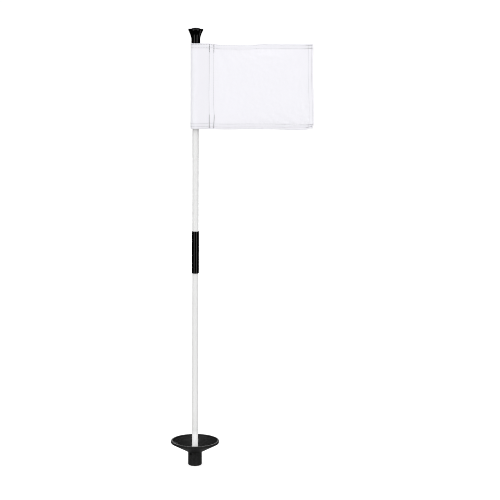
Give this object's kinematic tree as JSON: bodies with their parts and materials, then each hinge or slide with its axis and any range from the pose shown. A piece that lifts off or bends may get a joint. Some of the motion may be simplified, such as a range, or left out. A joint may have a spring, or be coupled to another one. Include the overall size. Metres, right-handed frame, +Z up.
{
  "type": "golf flagstick",
  "caption": "Short take-apart golf flagstick: white rod, swivelling white nylon flag, flared black screw-on finial, and a dark dish at the foot that lifts the ball out of the cup.",
  "frame": {"origin": "centre of the stem's flat foot, on the axis of the rod", "axes": "+Z up along the rod, towards the finial; +X along the flag, from the rod to the fly end; -Y is the side the flag is seen from"},
  "size_m": [0.291, 0.1012, 0.914],
  "materials": {
    "base_plastic": "dark, lightly textured moulding",
    "black_gloss": "glossy black",
    "fibreglass_white": "white pultruded fibreglass, satin",
    "tube_white": "satin white tube",
    "bushing_nylon": "natural nylon",
    "flag_nylon": "white woven nylon",
    "insert_brass": "machined",
    "bolt_steel": "zinc plated",
    "grub_steel": "black oxide"
  },
  "bodies": {
    "lower_section": {"base_dish": "base_plastic", "base_grub_screw": "grub_steel", "lower_rod": "fibreglass_white", "joint_ferrule": "black_gloss"},
    "upper_section": {"upper_rod": "fibreglass_white", "rod_top_insert": "insert_brass"},
    "flag": {"flag_tube": "tube_white", "tube_bottom_bushing": "bushing_nylon", "tube_top_bushing": "bushing_nylon", "flag_cloth": "flag_nylon"},
    "finial_seat": {"finial_washer": "bolt_steel"},
    "finial": {"finial_bolt": "bolt_steel", "finial_knob": "black_gloss", "finial_cap": "black_gloss"}
  },
  "joints": [
    {"name": "upper_section_pull", "type": "slide", "parent": "lower_section", "child": "upper_section", "axis": [0, 0, 1], "range_m": [0, 0.06]},
    {"name": "flag_swivel", "type": "hinge", "parent": "upper_section", "child": "flag", "pos_m": [0, 0, 0.795], "axis": [0, 0, 1], "continuous": true},
    {"name": "finial_lift", "type": "slide", "parent": "upper_section", "child": "finial_seat", "axis": [0, 0, 1], "range_m": [0, 0.012]},
    {"name": "finial_turn", "type": "hinge", "parent": "finial_seat", "child": "finial", "pos_m": [0, 0, 0.883], "axis": [0, 0, 1], "range_deg": [0, 4320]}
  ],
  "couplings": [
    {"joint": "finial_lift", "follows": "finial_turn", "m_per_rad": 0.00015915}
  ]
}
